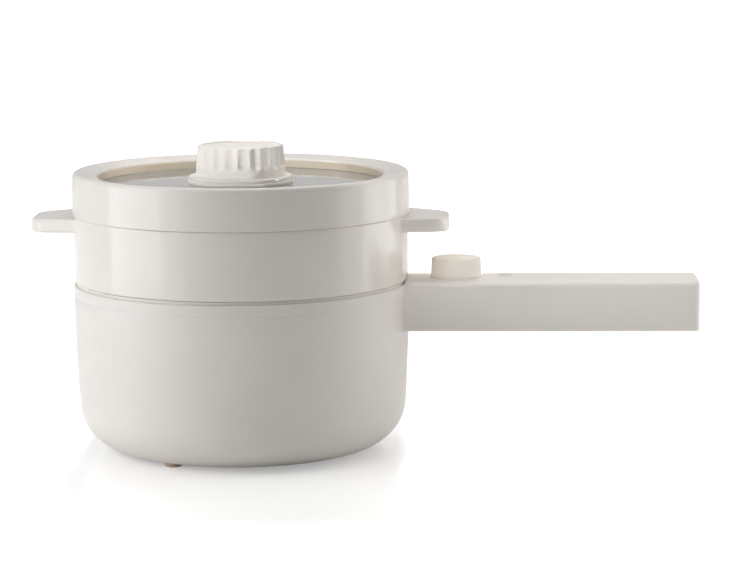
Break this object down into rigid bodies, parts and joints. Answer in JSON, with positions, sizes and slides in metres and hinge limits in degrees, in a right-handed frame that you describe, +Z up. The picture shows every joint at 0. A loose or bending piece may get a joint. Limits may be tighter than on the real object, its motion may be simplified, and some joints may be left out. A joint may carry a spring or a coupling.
{
  "type": "multicooker",
  "caption": "Round countertop multicooker with a straight side handle, a turn dial, a lift-off steamer tier with side tabs, and a lift-off glass lid with a scalloped knob.",
  "frame": {"origin": "on the pot's axis, in the plane that the feet stand on", "axes": "+Z up along the pot's axis, +X from the pot along the handle, +Y away from the viewer of the picture"},
  "size_m": [0.3945, 0.2, 0.1805],
  "materials": {
    "shell_plastic": "satin warm white moulding",
    "tier_plastic": "glossy warm white moulding",
    "knob_plastic": "satin warm white moulding",
    "inner_plastic": "plain inner moulding",
    "under_plastic": "fine textured moulding",
    "seal_silicone": "tan silicone",
    "lid_glass": "clear tempered glass",
    "foot_rubber": "brown rubber",
    "pot_coating": "cream speckled ceramic non-stick coating on aluminium",
    "heater_aluminium": "plain aluminium",
    "heater_steel": "heat-tinted steel sheath",
    "bright_steel": "zinc-plated steel",
    "contact_brass": "plain brass",
    "socket_plastic": "black moulding",
    "board_laminate": "green laminate",
    "pilot_lens": "milky clear moulding",
    "lead_insulation": "brown insulation",
    "earth_insulation": "green and yellow insulation"
  },
  "bodies": {
    "base": {"outer_shell": "shell_plastic", "rim_collar": "shell_plastic", "handle_body": "shell_plastic", "handle_end_cap": "shell_plastic", "base_cover": "under_plastic", "handle_bottom_cover": "under_plastic", "rubber_feet": "foot_rubber", "inner_pot": "pot_coating", "heating_plate": "heater_aluminium", "heat_shield": "heater_aluminium", "heating_element": "heater_steel", "base_screws": "bright_steel", "cover_screws": "bright_steel", "handle_screws": "bright_steel", "board_screws": "bright_steel", "support_pillars": "bright_steel", "handle_clamps": "bright_steel", "fuse_clip": "bright_steel", "inlet_pins": "contact_brass", "switch_nut": "contact_brass", "power_inlet": "socket_plastic", "rotary_switch": "socket_plastic", "thermostat": "socket_plastic", "thermal_fuse": "socket_plastic", "control_board": "board_laminate", "indicator_lens": "pilot_lens", "indicator_led": "pilot_lens", "heater_leads": "lead_insulation", "mains_leads": "lead_insulation", "earth_lead": "earth_insulation"},
    "dial": {"control_dial": "knob_plastic", "dial_shaft": "bright_steel"},
    "steamer": {"steamer_tier": "tier_plastic"},
    "lid": {"lid_ring": "tier_plastic", "lid_retainer": "inner_plastic", "lid_gasket": "seal_silicone", "lid_glass": "lid_glass", "knob_base": "knob_plastic", "lid_knob": "knob_plastic", "knob_washer": "bright_steel", "knob_screw": "bright_steel"}
  },
  "joints": [
    {"name": "steamer_lift", "type": "slide", "parent": "base", "child": "steamer", "axis": [0, 0, 1], "range_m": [0, 0.12]},
    {"name": "lid_lift", "type": "slide", "parent": "steamer", "child": "lid", "axis": [0, 0, 1], "range_m": [0, 0.12]},
    {"name": "dial_turn", "type": "hinge", "parent": "base", "child": "dial", "pos_m": [0.1277, 0, 0.1], "axis": [0, 0, 1], "range_deg": [-180, 0]}
  ]
}
